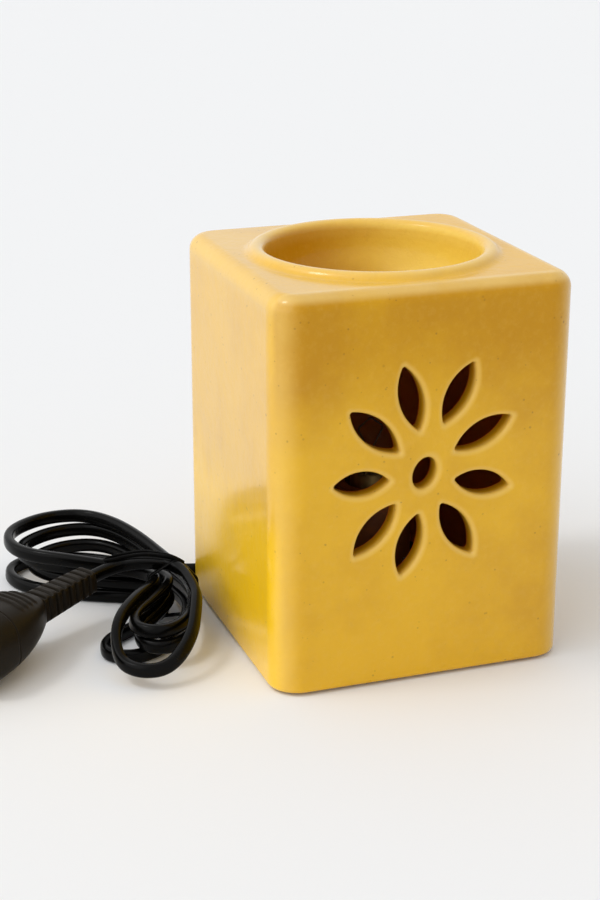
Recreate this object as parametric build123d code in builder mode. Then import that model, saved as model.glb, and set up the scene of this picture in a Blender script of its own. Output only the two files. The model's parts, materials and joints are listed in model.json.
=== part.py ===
# Wax melt warmer: a glazed ceramic cube with a melt dish in its top and a flower
# cut through its front, standing over a lamp base with a small screw-in lamp.
# Millimetres, +Z up, origin at the middle of the underside, front face towards -Y.
import os
from math import atan2, cos, degrees, floor, pi, radians, sin, sqrt, tan
from build123d import *

os.makedirs("parts", exist_ok=True)

# Clearances
running_gap = 0.3
fit_gap = 0.1

# Ceramic body
body_width = 100.0
body_height = 130.0
wall = 6.0
top_wall = 6.0
corner_radius = 10.0
room_corner_radius = 5.0
top_edge_radius = 5.2
foot_edge_radius = 1.5
pad_thickness = 0.8
pad_length = 14.0
half_body = body_width / 2
half_room = half_body - wall
pad_width = 3.6
pad_corner = 1.1
pad_x = half_body - foot_edge_radius - (wall - foot_edge_radius) / 2
pad_y = half_body - 22.0

# Melt dish with its raised bead
dish_radius = 35.0
dish_depth = 22.4
dish_wall = 5.0
dish_curve = 16.0
bead_radius = 3.0
bead_rise = 2.4
bead_foot = 3.0
crest_z = body_height + bead_rise
bead_z = crest_z - bead_radius
bead_x = dish_radius + bead_radius
dish_floor_z = crest_z - dish_depth
dish_under_z = dish_floor_z - dish_wall
curve_x = dish_radius - dish_curve
curve_z = dish_floor_z + dish_curve
foot_centre_z = body_height + bead_foot
foot_x = bead_x + sqrt((bead_radius + bead_foot) ** 2 - (foot_centre_z - bead_z) ** 2)
bead_angle = degrees(atan2(foot_centre_z - bead_z, foot_x - bead_x))

# Flower cut-out: outer tip, inner tip and width of each petal, as x and z on the front face
petal_tip_radius = 0.8
cutout_edge_radius = 1.6
flower_scale = body_width / 100.0
flower_drop = 130.0 - body_height
petals = [
    ((-8.9, 105.8), (-3.1, 84.3), 8.2),
    ((14.7, 105.1), (4.9, 85.7), 8.4),
    ((28.0, 86.2), (8.7, 76.8), 8.2),
    ((28.0, 62.8), (9.0, 67.1), 8.0),
    ((15.9, 41.2), (4.6, 59.6), 8.4),
    ((-8.8, 36.8), (-2.9, 57.1), 8.2),
    ((-24.5, 45.3), (-10.6, 61.2), 8.2),
    ((-31.5, 69.1), (-12.8, 69.1), 8.0),
    ((-26.2, 92.7), (-9.6, 77.9), 8.4),
]
oval_centre = (-1.1, 70.3)
oval_width = 7.6
oval_height = 10.5
oval_lean = -20.0

# Cord opening low in the back wall
opening_width = 15.0
opening_height = 15.5

# Lamp base
base_radius = 38.0
base_height = 12.0
base_wall = 2.0
base_plate = 2.2
base_edge_radius = 1.6
foot_height = 3.0
foot_radius = 4.5
foot_round = 0.6
foot_ring = base_radius - 10.6
cover_thickness = 1.6
cover_screw_ring = base_radius - 8.7
cover_screw_radius = 1.35
cover_screw_head = 2.8
cover_screw_length = 7.5
head_flat = 0.05
shank_start = 0.5
boss_radius = 3.6
shell_top = foot_height + base_height
plate_under = shell_top - base_plate
cover_top = foot_height + cover_thickness
head_height = cover_screw_head - cover_screw_radius

# Leaf springs that steady the body on the base
spring_thickness = 0.6
spring_width = 9.0
spring_height = 16.0
spring_lead_in = 8.0
spring_lead_back = 3.0
spring_foot_bend = 3.0
spring_top_bend = 5.0
spring_reach = half_room - running_gap
spring_start = base_radius - 12.5
spring_rise_at = base_radius - 1.0
rivet_ring = base_radius - 9.0
rivet_radius = 1.5
rivet_head = 2.7
rivet_head_height = 1.0
rivet_head_round = 0.6

# Cord bush in a flat block at the back of the base
bush_hole = 3.3
bush_flange = 5.0
bush_flange_height = 1.8
bush_inner_lip = 0.6
bush_nose_step = 1.2
bush_nose_taper = 20.0
block_half_width = 8.0
block_out = base_radius + 0.6
block_in = base_radius - base_wall - 2.0
block_bottom = cover_top + fit_gap
bush_z = (block_bottom + plate_under) / 2
bush_nose = 3.9
bush_end = block_out + bush_nose
bush_inner_end = block_in - bush_flange_height

# Lamp holder
nipple_radius = 5.0
nipple_bore = 3.5
nipple_below = 0.8
nut_across = 14.0
nut_height = 3.0
holder_radius = 14.0
holder_floor = 3.5
terminal_room = 10.0
insert_radius = 11.3
insert_height = 6.0
insert_ledge = 1.9
skirt_above = 16.0
skirt_top_radius = 12.6
skirt_straight = 2.0
skirt_play = 0.7
screw_shell_radius = 7.15
screw_shell_wall = 0.45
screw_shell_length = 13.0
contact_rise = 2.1
contact_thickness = 0.4
contact_width = 4.0
contact_bend = 0.8
holder_cavity_z = shell_top + holder_floor
ledge_z = holder_cavity_z + terminal_room
insert_top = ledge_z + insert_height
holder_rim_z = ledge_z + insert_height / 2
skirt_top = insert_top + skirt_above
skirt_bore = screw_shell_radius + screw_shell_wall + skirt_play
contact_top = insert_top + contact_rise + contact_thickness
terminal_x = 5.5
terminal_size = (4.0, 5.0, 4.5)
terminal_screw_radius = 1.5
terminal_screw_height = 1.4
terminal_under = ledge_z - terminal_size[2]

# Insulated cores inside the base
core_radius = 1.0
core_x = 1.6
core_dip = 0.62
core_turn = 1.3
core_bends = [20.0, 5.0, 2.4, 2.0]
core_low_z = plate_under - 5.8

# Lamp: small clear E14 lamp
lamp_length = 50.0
lamp_radius = 11.0
neck_radius = 5.9
neck_in_cap = 8.0
bulb_start = 1.5
bulb_full = 7.5
bulb_bends = [4.0, 6.0, lamp_radius - 0.2]
glass_wall = 0.8
cap_wall = 0.3
cap_length = 14.0
cap_lip = 1.3
cap_play = 0.4
cap_radius = screw_shell_radius - cap_play
end_contact_radius = 2.6
end_contact_height = 1.0
end_contact_round = 0.7
insulator_height = 2.0
insulator_inset = 0.9
stem_height = 14.0
stem_flare = 1.0
stem_waist_z = 4.0
stem_waist_radius = 2.2
stem_top_radius = 1.7
filament_radius = 0.3
filament_foot = 1.0
filament_half = 0.42 * lamp_radius
filament_straight = 2.0
filament_side = 9.0
filament_rise = 12.5
filament_foot_bend = 2.0
filament_bend = 1.5
lamp_bottom = contact_top + running_gap
insulator_z = lamp_bottom + end_contact_height
cap_z = insulator_z + insulator_height + running_gap
cap_top = cap_z + cap_length
lamp_top = lamp_bottom + lamp_length
neck_z = cap_top - neck_in_cap
stem_top = neck_z + stem_height

# Cord route: a lead from the bush, a hank of four crossed loops lying left of the body, a tail
cord_diameter = 4.0
cord_radius = cord_diameter / 2
cord_floor = cord_radius + 0.05
layer_pitch = 4.6
waist = (-(half_body + 3.2), half_body - 14.0)
waist_half = 2.6
waist_bend = 21.0
left_heading = 142.0
front_heading = 244.5
hank_start = 40.0
hank_end = -1318.0
hank_steps = 68
# Reach, near spread and far spread of each loop on the left, then reach and spread of each in front
left_loops = [(69, 27, 31), (59, 22, 43), (63, 25, 46), (70, 30, 43)]
front_loops = [(53, 20), (57, 20), (57, 21), (71, 27)]
last_turn = len(left_loops) - 1
# Each turn climbs a layer on its way out to the left
climb_start = 4.0
climb_run = 24.0
# The first front loop swings out, and the last one comes down to the floor in front of the others
first_swing = 11.0
last_dip = 11.0
dip_from = 0.62
# At the waist the last near strand has rolled down beside the others
rolled_half = 6.8
rolled_drop = 2.6
rolled_run = 27.0

# Straight runs into the hank, out of it and into the plug
lead_last_run = 15.0
tail_first_run = 9.0
tail_last_run = 12.0

# Tie round the hank's waist and the tail: the outermost strands there, across and up
tie_at = -10.0
tie_width = 2.4
tie_thickness = 1.0
tie_slack = 0.4
tie_lift = 1.6
tie_lift_run = 16.0
tie_strands = [(-6.3, 3.65), (3.2, 3.65), (4.3, 13.0), (-1.0, 20.2), (-9.6, 20.2)]

# Plug lying on its side
plug_heading = 213.0
plug_drop = 4.0
relief_length = 26.0
relief_start_size = (6.4, 5.8)
relief_end_size = (8.6, 7.6)
relief_corner = 2.0
rib_count = 8
rib_thickness = 1.8
rib_rise = 1.1
plug_neck_size = (12.4, 11.0)
plug_neck_corner = 4.5
plug_shoulder = 13.5
plug_shoulder_size = (27.0, 20.2)
plug_shoulder_corner = 8.0
plug_length = 38.0
plug_width = 33.0
plug_height = 23.0
plug_corner = 9.0
pin_radius = 2.4
pin_length = 19.0
pin_spacing = 19.0
pin_tip_radius = 1.4


def on_circle(cx, cy, r, angle):
    return (cx + r * cos(radians(angle)), cy + r * sin(radians(angle)))


def turned(angle):
    # Upright plane through the axis: its x runs outwards at the angle, its y runs up.
    a = radians(angle)
    return Plane(origin=(0, 0, 0), x_dir=(cos(a), sin(a), 0), z_dir=(sin(a), -cos(a), 0))


def across_y(y, z):
    # Plane facing the back at depth y.
    return Plane(origin=(0, y, z), x_dir=(1, 0, 0), z_dir=(0, 1, 0))


def smooth(t):
    t = min(max(t, 0.0), 1.0)
    return t * t * (3 - 2 * t)


# Ceramic body
with BuildPart() as ceramic_body:
    with BuildSketch(Plane.XY.offset(pad_thickness)):
        RectangleRounded(body_width, body_width, corner_radius)
    extrude(amount=body_height - pad_thickness)
    fillet(ceramic_body.edges().group_by(Axis.Z)[-1], top_edge_radius)
    fillet(ceramic_body.edges().group_by(Axis.Z)[0], foot_edge_radius)
    with BuildSketch(Plane.XY.offset(pad_thickness)):
        RectangleRounded(2 * half_room, 2 * half_room, room_corner_radius)
    extrude(amount=body_height - pad_thickness - top_wall, mode=Mode.SUBTRACT)
    with BuildSketch(Plane.XY.offset(body_height - top_wall - 1)):
        Circle(bead_x)
    extrude(amount=top_wall + 2, mode=Mode.SUBTRACT)
    with BuildSketch(Plane.XZ):
        with BuildLine():
            Line((0, dish_under_z), (curve_x, dish_under_z))
            ThreePointArc(
                (curve_x, dish_under_z),
                on_circle(curve_x, curve_z, dish_curve + dish_wall, -45),
                (dish_radius + dish_wall, curve_z),
            )
            Polyline(
                (dish_radius + dish_wall, curve_z),
                (dish_radius + dish_wall, body_height - top_wall / 2),
                (foot_x, body_height - top_wall / 2),
                (foot_x, body_height),
            )
            ThreePointArc(
                (foot_x, body_height),
                on_circle(foot_x, foot_centre_z, bead_foot, -90 - (90 - bead_angle) / 2),
                on_circle(bead_x, bead_z, bead_radius, bead_angle),
            )
            ThreePointArc(
                on_circle(bead_x, bead_z, bead_radius, bead_angle),
                on_circle(bead_x, bead_z, bead_radius, (bead_angle + 180) / 2),
                (dish_radius, bead_z),
            )
            Line((dish_radius, bead_z), (dish_radius, curve_z))
            ThreePointArc(
                (dish_radius, curve_z),
                on_circle(curve_x, curve_z, dish_curve, -45),
                (curve_x, dish_floor_z),
            )
            Polyline((curve_x, dish_floor_z), (0, dish_floor_z), (0, dish_under_z))
        make_face()
    revolve(axis=Axis.Z)
    with BuildSketch(Plane.XZ.offset(half_body)) as flower:
        for outer, inner, width in petals:
            x0 = outer[0] * flower_scale
            z0 = outer[1] - flower_drop
            x1 = inner[0] * flower_scale
            z1 = inner[1] - flower_drop
            run = sqrt((x1 - x0) ** 2 + (z1 - z0) ** 2)
            side_x = -(z1 - z0) / run * width / 2
            side_z = (x1 - x0) / run * width / 2
            mid_x = (x0 + x1) / 2
            mid_z = (z0 + z1) / 2
            with BuildLine():
                ThreePointArc((x0, z0), (mid_x + side_x, mid_z + side_z), (x1, z1))
                ThreePointArc((x1, z1), (mid_x - side_x, mid_z - side_z), (x0, z0))
            make_face()
        fillet(flower.vertices(), petal_tip_radius)
        with Locations((oval_centre[0] * flower_scale, oval_centre[1] - flower_drop)):
            Ellipse(oval_width / 2, oval_height / 2, rotation=oval_lean)
    extrude(amount=-(wall + 1), mode=Mode.SUBTRACT)
    front_face = ceramic_body.faces().sort_by(Axis.Y)[0]
    for cutout in front_face.inner_wires():
        fillet(cutout.edges(), cutout_edge_radius)
    with BuildSketch(across_y(half_room - 1, 0)):
        with BuildLine():
            arch_z = -(opening_height - opening_width / 2)
            Polyline(
                (-opening_width / 2, arch_z),
                (-opening_width / 2, 0),
                (opening_width / 2, 0),
                (opening_width / 2, arch_z),
            )
            ThreePointArc((opening_width / 2, arch_z), (0, -opening_height), (-opening_width / 2, arch_z))
        make_face()
    extrude(amount=wall + 2, mode=Mode.SUBTRACT)
ceramic_body.part.label = "ceramic_body"
export_step(ceramic_body.part, "parts/ceramic_body.step")

with BuildPart() as body_pads:
    with BuildSketch():
        with Locations((pad_x, pad_y), (-pad_x, pad_y), (pad_x, -pad_y), (-pad_x, -pad_y)):
            RectangleRounded(pad_width, pad_length, pad_corner)
    extrude(amount=pad_thickness)
body_pads.part.label = "body_pads"
export_step(body_pads.part, "parts/body_pads.step")

# Lamp base
with BuildPart() as base_shell:
    with BuildSketch(Plane.XY.offset(foot_height)):
        Circle(base_radius)
    extrude(amount=base_height)
    fillet(base_shell.edges().group_by(Axis.Z)[-1], base_edge_radius)
    with BuildSketch(Plane.XY.offset(foot_height)):
        Circle(base_radius - base_wall)
    extrude(amount=base_height - base_plate, mode=Mode.SUBTRACT)
    with BuildSketch(Plane.XY.offset(cover_top)):
        with PolarLocations(cover_screw_ring, 4, start_angle=45):
            Circle(boss_radius)
    extrude(amount=plate_under - cover_top)
    with BuildSketch(Plane.XY.offset(block_bottom)):
        with Locations((0, (block_in + block_out) / 2)):
            Rectangle(2 * block_half_width, block_out - block_in)
    extrude(amount=plate_under - block_bottom)
    with BuildSketch(Plane.XY.offset(cover_top)):
        with PolarLocations(cover_screw_ring, 4, start_angle=45):
            Circle(cover_screw_radius + fit_gap)
    extrude(amount=cover_screw_length, mode=Mode.SUBTRACT)
    with BuildSketch(Plane.XY.offset(plate_under)):
        Circle(nipple_radius + fit_gap)
        with PolarLocations(rivet_ring, 4):
            Circle(rivet_radius + fit_gap)
    extrude(amount=base_plate, mode=Mode.SUBTRACT)
    with BuildSketch(across_y(block_in, bush_z)):
        Circle(bush_hole)
    extrude(amount=block_out - block_in, mode=Mode.SUBTRACT)
base_shell.part.label = "base_shell"
export_step(base_shell.part, "parts/base_shell.step")

with BuildPart() as base_cover:
    with BuildSketch(Plane.XY.offset(foot_height)):
        Circle(base_radius - base_wall - 2 * fit_gap)
    extrude(amount=cover_thickness)
    with BuildSketch(Plane.XY.offset(foot_height)):
        with PolarLocations(cover_screw_ring, 4, start_angle=45):
            Circle(cover_screw_radius + fit_gap)
    extrude(amount=cover_thickness, mode=Mode.SUBTRACT)
    with BuildSketch(Plane.XY.offset(foot_height)):
        with PolarLocations(cover_screw_ring, 4, start_angle=45):
            Circle(cover_screw_head + fit_gap)
    extrude(amount=head_height, taper=45, mode=Mode.SUBTRACT)
base_cover.part.label = "base_cover"
export_step(base_cover.part, "parts/base_cover.step")

with BuildPart() as cover_screws:
    with BuildSketch(Plane.XY.offset(foot_height)):
        with PolarLocations(cover_screw_ring, 4, start_angle=45):
            Circle(cover_screw_head)
    extrude(amount=head_height - head_flat, taper=45)
    with BuildSketch(Plane.XY.offset(foot_height + shank_start)):
        with PolarLocations(cover_screw_ring, 4, start_angle=45):
            Circle(cover_screw_radius)
    extrude(amount=cover_screw_length)
cover_screws.part.label = "cover_screws"
export_step(cover_screws.part, "parts/cover_screws.step")

with BuildPart() as rubber_feet:
    with BuildSketch():
        with PolarLocations(foot_ring, 4):
            Circle(foot_radius)
    extrude(amount=foot_height)
    fillet(rubber_feet.edges().group_by(Axis.Z)[0], foot_round)
rubber_feet.part.label = "rubber_feet"
export_step(rubber_feet.part, "parts/rubber_feet.step")

with BuildPart() as retaining_springs:
    for angle in (0, 90, 180, 270):
        with BuildSketch(turned(angle)):
            with BuildLine():
                FilletPolyline(
                    (spring_start, shell_top),
                    (spring_rise_at, shell_top),
                    (spring_reach, shell_top + spring_height),
                    (spring_reach - spring_lead_back, shell_top + spring_height + spring_lead_in),
                    radius=[spring_foot_bend, spring_top_bend],
                )
                offset(amount=spring_thickness, side=Side.LEFT)
            make_face()
        extrude(amount=spring_width / 2, both=True)
    with BuildSketch(Plane.XY.offset(shell_top)):
        with PolarLocations(rivet_ring, 4):
            Circle(rivet_radius + fit_gap)
    extrude(amount=2 * spring_thickness, mode=Mode.SUBTRACT)
retaining_springs.part.label = "retaining_springs"
export_step(retaining_springs.part, "parts/retaining_springs.step")

with BuildPart() as spring_rivets:
    with BuildSketch(Plane.XY.offset(plate_under - rivet_head_height)):
        with PolarLocations(rivet_ring, 4):
            Circle(rivet_head)
    extrude(amount=rivet_head_height)
    with BuildSketch(Plane.XY.offset(plate_under)):
        with PolarLocations(rivet_ring, 4):
            Circle(rivet_radius)
    extrude(amount=base_plate + spring_thickness)
    with BuildSketch(Plane.XY.offset(shell_top + spring_thickness)):
        with PolarLocations(rivet_ring, 4):
            Circle(rivet_head)
    extrude(amount=rivet_head_height)
    fillet(spring_rivets.edges().group_by(Axis.Z)[-1], rivet_head_round)
spring_rivets.part.label = "spring_rivets"
export_step(spring_rivets.part, "parts/spring_rivets.step")

with BuildPart() as cord_bush:
    with BuildSketch(across_y(bush_inner_end, bush_z)):
        Circle(bush_hole + bush_inner_lip)
    extrude(amount=bush_flange_height)
    with BuildSketch(across_y(block_in, bush_z)):
        Circle(bush_hole - fit_gap)
    extrude(amount=block_out - block_in)
    with BuildSketch(across_y(block_out, bush_z)):
        Circle(bush_flange)
    extrude(amount=bush_flange_height)
    with BuildSketch(across_y(block_out + bush_flange_height, bush_z)):
        Circle(bush_flange - bush_nose_step)
    extrude(amount=bush_end - block_out - bush_flange_height, taper=bush_nose_taper)
cord_bush.part.label = "cord_bush"
export_step(cord_bush.part, "parts/cord_bush.step")

# Lamp holder
with BuildPart() as holder_nipple:
    with BuildSketch(Plane.XY.offset(plate_under - nut_height - nipple_below)):
        Circle(nipple_radius)
        Circle(nipple_bore, mode=Mode.SUBTRACT)
    extrude(amount=base_plate + holder_floor + nut_height + nipple_below)
holder_nipple.part.label = "holder_nipple"
export_step(holder_nipple.part, "parts/holder_nipple.step")

with BuildPart() as nipple_nut:
    with BuildSketch(Plane.XY.offset(plate_under - nut_height)):
        RegularPolygon(nut_across / 2, 6, major_radius=False)
        Circle(nipple_radius + fit_gap, mode=Mode.SUBTRACT)
    extrude(amount=nut_height)
nipple_nut.part.label = "nipple_nut"
export_step(nipple_nut.part, "parts/nipple_nut.step")

with BuildPart() as holder_base:
    with BuildSketch(Plane.XY.offset(shell_top)):
        Circle(holder_radius)
    extrude(amount=holder_rim_z - shell_top)
    with BuildSketch(Plane.XY.offset(holder_cavity_z)):
        Circle(insert_radius - insert_ledge)
    extrude(amount=terminal_room, mode=Mode.SUBTRACT)
    with BuildSketch(Plane.XY.offset(ledge_z)):
        Circle(insert_radius + fit_gap)
    extrude(amount=holder_rim_z - ledge_z, mode=Mode.SUBTRACT)
    with BuildSketch(Plane.XY.offset(shell_top)):
        Circle(nipple_radius + fit_gap)
    extrude(amount=holder_floor, mode=Mode.SUBTRACT)
holder_base.part.label = "holder_base"
export_step(holder_base.part, "parts/holder_base.step")

with BuildPart() as holder_insert:
    with BuildSketch(Plane.XY.offset(ledge_z)):
        Circle(insert_radius)
    extrude(amount=insert_height)
holder_insert.part.label = "holder_insert"
export_step(holder_insert.part, "parts/holder_insert.step")

with BuildPart() as terminal_blocks:
    with BuildSketch(Plane.XY.offset(terminal_under)):
        with Locations((terminal_x, 0), (-terminal_x, 0)):
            Rectangle(terminal_size[0], terminal_size[1])
    extrude(amount=terminal_size[2])
terminal_blocks.part.label = "terminal_blocks"
export_step(terminal_blocks.part, "parts/terminal_blocks.step")

with BuildPart() as terminal_screws:
    with BuildSketch(across_y(terminal_size[1] / 2, terminal_under + terminal_size[2] / 2)):
        with Locations((terminal_x, 0), (-terminal_x, 0)):
            Circle(terminal_screw_radius)
    extrude(amount=terminal_screw_height)
terminal_screws.part.label = "terminal_screws"
export_step(terminal_screws.part, "parts/terminal_screws.step")

with BuildPart() as holder_skirt:
    with BuildSketch(Plane.XZ):
        with BuildLine():
            Polyline(
                (insert_radius + fit_gap, holder_rim_z),
                (holder_radius, holder_rim_z),
                (holder_radius, insert_top + skirt_straight),
                (skirt_top_radius, skirt_top),
                (skirt_bore, skirt_top),
                (skirt_bore, insert_top),
                (insert_radius + fit_gap, insert_top),
                (insert_radius + fit_gap, holder_rim_z),
            )
        make_face()
    revolve(axis=Axis.Z)
holder_skirt.part.label = "holder_skirt"
export_step(holder_skirt.part, "parts/holder_skirt.step")

with BuildPart() as screw_shell:
    with BuildSketch(Plane.XY.offset(insert_top)):
        Circle(screw_shell_radius + screw_shell_wall)
        Circle(screw_shell_radius, mode=Mode.SUBTRACT)
    extrude(amount=screw_shell_length)
screw_shell.part.label = "screw_shell"
export_step(screw_shell.part, "parts/screw_shell.step")

with BuildPart() as centre_contact:
    with BuildSketch(Plane.XZ):
        with BuildLine():
            FilletPolyline(
                (-5.6, insert_top),
                (-2.2, insert_top),
                (-0.6, insert_top + contact_rise),
                (2.6, insert_top + contact_rise),
                radius=[contact_bend, contact_bend],
            )
            offset(amount=contact_thickness, side=Side.LEFT)
        make_face()
    extrude(amount=contact_width / 2, both=True)
centre_contact.part.label = "centre_contact"
export_step(centre_contact.part, "parts/centre_contact.step")


def core_route(side):
    x = side * core_x
    return [
        (x, bush_inner_end, bush_z),
        (x, core_dip * bush_inner_end, bush_z),
        (x, 0, core_low_z),
        (x, 0, holder_cavity_z + core_turn),
        (side * terminal_x, 0, terminal_under - core_turn),
        (side * terminal_x, 0, terminal_under),
    ]


with BuildPart() as live_core:
    with BuildLine() as live_line:
        FilletPolyline(*core_route(-1), radius=core_bends)
    with BuildSketch(Plane(origin=live_line.line @ 0, z_dir=live_line.line % 0)):
        Circle(core_radius)
    sweep()
live_core.part.label = "live_core"
export_step(live_core.part, "parts/live_core.step")

with BuildPart() as neutral_core:
    with BuildLine() as neutral_line:
        FilletPolyline(*core_route(1), radius=core_bends)
    with BuildSketch(Plane(origin=neutral_line.line @ 0, z_dir=neutral_line.line % 0)):
        Circle(core_radius)
    sweep()
neutral_core.part.label = "neutral_core"
export_step(neutral_core.part, "parts/neutral_core.step")

# Lamp
with BuildPart() as lamp_end_contact:
    with BuildSketch(Plane.XY.offset(lamp_bottom)):
        Circle(end_contact_radius)
    extrude(amount=end_contact_height)
    fillet(lamp_end_contact.edges().group_by(Axis.Z)[0], end_contact_round)
lamp_end_contact.part.label = "lamp_end_contact"
export_step(lamp_end_contact.part, "parts/lamp_end_contact.step")

with BuildPart() as lamp_insulator:
    with BuildSketch(Plane.XZ):
        with BuildLine():
            Polyline(
                (0, insulator_z),
                (end_contact_radius, insulator_z),
                (cap_radius - insulator_inset, insulator_z + insulator_height),
                (0, insulator_z + insulator_height),
                (0, insulator_z),
            )
        make_face()
    revolve(axis=Axis.Z)
lamp_insulator.part.label = "lamp_insulator"
export_step(lamp_insulator.part, "parts/lamp_insulator.step")

with BuildPart() as lamp_cap:
    with BuildSketch(Plane.XZ):
        with BuildLine():
            Polyline(
                (cap_radius - cap_lip, cap_z),
                (cap_radius, cap_z),
                (cap_radius, cap_top),
                (cap_radius - cap_wall, cap_top),
                (cap_radius - cap_wall, cap_z + cap_wall),
                (cap_radius - cap_lip, cap_z + cap_wall),
                (cap_radius - cap_lip, cap_z),
            )
        make_face()
    revolve(axis=Axis.Z)
lamp_cap.part.label = "lamp_cap"
export_step(lamp_cap.part, "parts/lamp_cap.step")

with BuildPart() as lamp_glass:
    with BuildSketch(Plane.XZ):
        with BuildLine():
            FilletPolyline(
                (neck_radius, neck_z),
                (neck_radius, cap_top + bulb_start),
                (lamp_radius, cap_top + bulb_full),
                (lamp_radius, lamp_top),
                (0, lamp_top),
                radius=bulb_bends,
            )
            offset(amount=glass_wall, side=Side.LEFT)
        make_face()
    revolve(axis=Axis.Z)
lamp_glass.part.label = "lamp_glass"
export_step(lamp_glass.part, "parts/lamp_glass.step")

with BuildPart() as lamp_stem:
    with BuildSketch(Plane.XZ):
        with BuildLine():
            Polyline(
                (0, neck_z),
                (neck_radius - glass_wall, neck_z),
                (neck_radius - glass_wall, neck_z + stem_flare),
                (stem_waist_radius, neck_z + stem_waist_z),
                (stem_top_radius, stem_top),
                (0, stem_top),
                (0, neck_z),
            )
        make_face()
    revolve(axis=Axis.Z)
lamp_stem.part.label = "lamp_stem"
export_step(lamp_stem.part, "parts/lamp_stem.step")

with BuildPart() as lamp_filament:
    with BuildLine() as filament_line:
        FilletPolyline(
            (-filament_foot, 0, stem_top),
            (-filament_foot, 0, stem_top + filament_straight),
            (-filament_half, 0, stem_top + filament_side),
            (0, 0, stem_top + filament_rise),
            (filament_half, 0, stem_top + filament_side),
            (filament_foot, 0, stem_top + filament_straight),
            (filament_foot, 0, stem_top),
            radius=[filament_foot_bend, filament_bend, filament_bend, filament_bend, filament_foot_bend],
        )
    with BuildSketch(Plane(origin=filament_line.line @ 0, z_dir=filament_line.line % 0)):
        Circle(filament_radius)
    sweep()
lamp_filament.part.label = "lamp_filament"
export_step(lamp_filament.part, "parts/lamp_filament.step")


# Cord: the middle line of the hank, then the arcs its tube follows
def spine(u):
    # Plan line of the hank: straight along each lobe, bent softly at the waist.
    ax, ay = cos(radians(left_heading)), sin(radians(left_heading))
    bx, by = cos(radians(front_heading)), sin(radians(front_heading))
    if u > waist_bend:
        return (waist[0] + u * ax, waist[1] + u * ay), (ax, ay)
    if u < -waist_bend:
        return (waist[0] - u * bx, waist[1] - u * by), (-bx, -by)
    k = (u + waist_bend) / (2 * waist_bend)
    p = (
        waist[0] + waist_bend * ((1 - k) ** 2 * bx + k * k * ax),
        waist[1] + waist_bend * ((1 - k) ** 2 * by + k * k * ay),
    )
    tx = -(1 - k) * bx + k * ax
    ty = -(1 - k) * by + k * ay
    size = sqrt(tx * tx + ty * ty)
    return p, (tx / size, ty / size)


def hank_point(angle):
    # Along the spine by cosine, across it by sine, with the strands drawn together at the waist.
    c = cos(radians(angle))
    s = sin(radians(angle))
    turn = min(max(int(floor((90 - angle) / 360)), 0), last_turn)
    on_left = c > 0
    near_side = s < 0
    rolled = near_side and turn == last_turn
    if on_left:
        reach, near, far = left_loops[turn]
        spread = near if near_side else far
    else:
        reach, spread = front_loops[turn]
    half = rolled_half if rolled else waist_half
    u = c * reach
    v = s * (half + (spread - half) * (1 - (1 - c * c) ** 2))
    layer = turn
    if on_left and not near_side and turn > 0:
        layer -= 1 - smooth((u - climb_start) / climb_run)
    z = cord_floor + layer_pitch * layer + tie_lift * (1 - smooth(abs(u - tie_at) / tie_lift_run))
    if rolled:
        z -= rolled_drop * (1 - smooth(abs(u) / rolled_run))
    if turn == 0 and not on_left:
        v -= first_swing * smooth(-c)
    if turn == last_turn and not on_left:
        z -= last_dip * smooth((-c - dip_from) / (1 - dip_from))
    p, t = spine(u)
    return Vector(p[0] + v * t[1], p[1] - v * t[0], z)


def hank_heading(angle):
    return (hank_point(angle - 0.05) - hank_point(angle + 0.05)).normalized()


def biarc(p0, t0, p1, t1):
    # Joint of two arcs that leave p0 along t0 and reach p1 along t1, and the heading there.
    v = p1 - p0
    b = v.dot(t0 + t1)
    a = 2 * (1 - t0.dot(t1))
    if a < 1e-6:
        d = v.dot(v) / (2 * b)
    else:
        d = (-b + sqrt(b * b + a * v.dot(v))) / a
    joint = (p0 + p1 + (t0 - t1) * d) * 0.5
    return joint, (p1 - t1 * d - p0 - t0 * d).normalized()


hank_angles = [hank_start + (hank_end - hank_start) * i / hank_steps for i in range(hank_steps + 1)]
hank_points = [hank_point(a) for a in hank_angles]
hank_headings = [hank_heading(a) for a in hank_angles]

with BuildPart() as cord_hank:
    with BuildLine() as hank_line:
        for i in range(hank_steps):
            p0, p1 = hank_points[i], hank_points[i + 1]
            joint, heading = biarc(p0, hank_headings[i], p1, hank_headings[i + 1])
            TangentArc(p0, joint, tangent=hank_headings[i])
            TangentArc(joint, p1, tangent=heading)
    with BuildSketch(Plane(origin=hank_points[0], z_dir=hank_headings[0])):
        Circle(cord_radius)
    sweep()
cord_hank.part.label = "cord_hank"
export_step(cord_hank.part, "parts/cord_hank.step")

# Least gap between strands of the hank, measured on points along its arcs
samples = []
travelled = 0.0
for arc in hank_line.edges():
    for i in range(5):
        samples.append((arc @ (i / 5), travelled + arc.length * i / 5))
    travelled += arc.length
least = 1000.0
for i in range(len(samples)):
    for j in range(i + 1, len(samples)):
        if samples[j][1] - samples[i][1] > 4 * cord_diameter:
            least = min(least, (samples[i][0] - samples[j][0]).length)
print("hank length", round(travelled, 1), "least gap", round(least - cord_diameter, 2))
print("hank volume over section times length", round(
    cord_hank.part.volume / (pi * cord_radius ** 2 * travelled), 4))
arc_radii = [a.radius for a in hank_line.edges() if a.geom_type == GeomType.CIRCLE]
print("hank tightest radius", round(min(arc_radii), 2))


def route_radii(points):
    radii = []
    for i in range(1, len(points) - 1):
        a = Vector(*points[i]) - Vector(*points[i - 1])
        b = Vector(*points[i + 1]) - Vector(*points[i])
        half_turn = radians(a.get_angle(b)) / 2
        radii.append(0.45 * min(a.length, b.length) / tan(half_turn))
    return radii


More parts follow.
